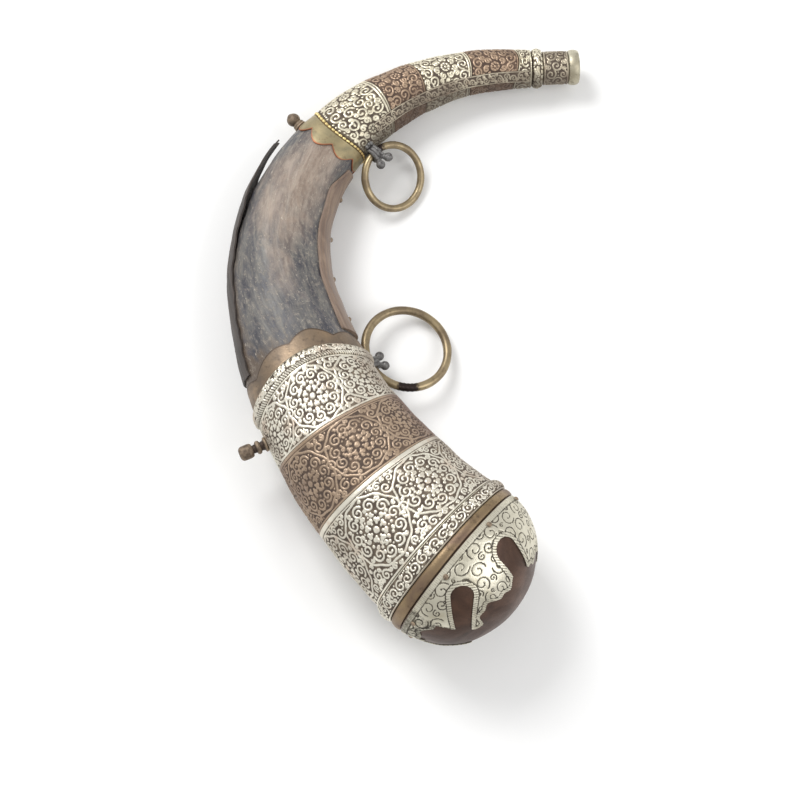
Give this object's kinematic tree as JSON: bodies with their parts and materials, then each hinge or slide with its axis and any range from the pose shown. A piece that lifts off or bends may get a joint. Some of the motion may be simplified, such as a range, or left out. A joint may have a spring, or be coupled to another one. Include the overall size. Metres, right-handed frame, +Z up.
{
  "type": "powder horn",
  "caption": "Curved wooden powder horn with chased metal sleeves, a domed base, a narrow pouring spout and carrying rings that swing in cast lugs.",
  "frame": {"origin": "centre of the bounding box at its lowest face, on the surface that the horn lies on", "axes": "+Y along the horn's longest extent, from the domed base to the neck; +X towards the side that the inner bend opens to; +Z up, out of the bend plane"},
  "size_m": [0.1887, 0.3291, 0.0772],
  "materials": {
    "horn_wood": "worn dark wood, satin, with tan rub marks and scratches",
    "edge_strip_dark": "dark brown worn strip, satin",
    "copper_sheet": "patinated red copper sheet, satin, chased",
    "white_metal": "chased nickel-silver sheet, dark in the recesses, satin",
    "white_foil": "engraved pale greenish white-metal foil, satin",
    "brass_plain": "plain tarnished brass, satin",
    "gilt_brass": "gilt brass, satin",
    "cast_metal": "dark grey-brown cast white metal, worn bright on the high spots",
    "ring_brass": "smooth olive-tan brass wire, satin"
  },
  "bodies": {
    "horn": {"body_half_front": "horn_wood", "body_half_back": "horn_wood", "neck_half_front": "horn_wood", "neck_half_back": "horn_wood", "inner_edge_strip": "copper_sheet", "outer_edge_strip": "edge_strip_dark", "base_plug": "horn_wood", "dome_cap": "copper_sheet", "dome_overlay": "white_foil", "base_brass_band": "brass_plain", "base_bead": "white_metal", "lower_sleeve_silver": "white_metal", "lower_sleeve_copper": "copper_sheet", "collar_sleeve_silver": "white_metal", "lower_collar": "white_metal", "lower_ferrule": "brass_plain", "upper_ferrule": "gilt_brass", "upper_beading": "gilt_brass", "neck_sleeve_silver_1": "white_metal", "neck_sleeve_copper_1": "copper_sheet", "neck_sleeve_silver_2": "white_metal", "neck_sleeve_copper_2": "copper_sheet", "neck_sleeve_silver_3": "white_metal", "neck_seam_strip": "white_metal", "spout_tube": "brass_plain", "spout_bead": "white_metal", "spout_sleeve": "white_metal", "spout_rim": "white_metal", "lower_knob": "cast_metal", "upper_knob": "cast_metal", "lower_lug": "cast_metal", "upper_lug": "cast_metal", "strip_nails": "brass_plain", "dome_nails": "brass_plain"},
    "lower_ring_body": {"lower_ring": "ring_brass"},
    "upper_ring_body": {"upper_ring": "ring_brass"}
  },
  "joints": [
    {"name": "lower_ring_swing", "type": "hinge", "parent": "horn", "child": "lower_ring_body", "pos_m": [-0.01766, -0.01533, 0.0165], "axis": [0.4904, -0.8702, 0.0467], "range_deg": [-114, 86]},
    {"name": "upper_ring_swing", "type": "hinge", "parent": "horn", "child": "upper_ring_body", "pos_m": [-0.01652, 0.10059, 0.02025], "axis": [-0.6596, -0.7477, 0.0772], "range_deg": [-50, 136]}
  ]
}
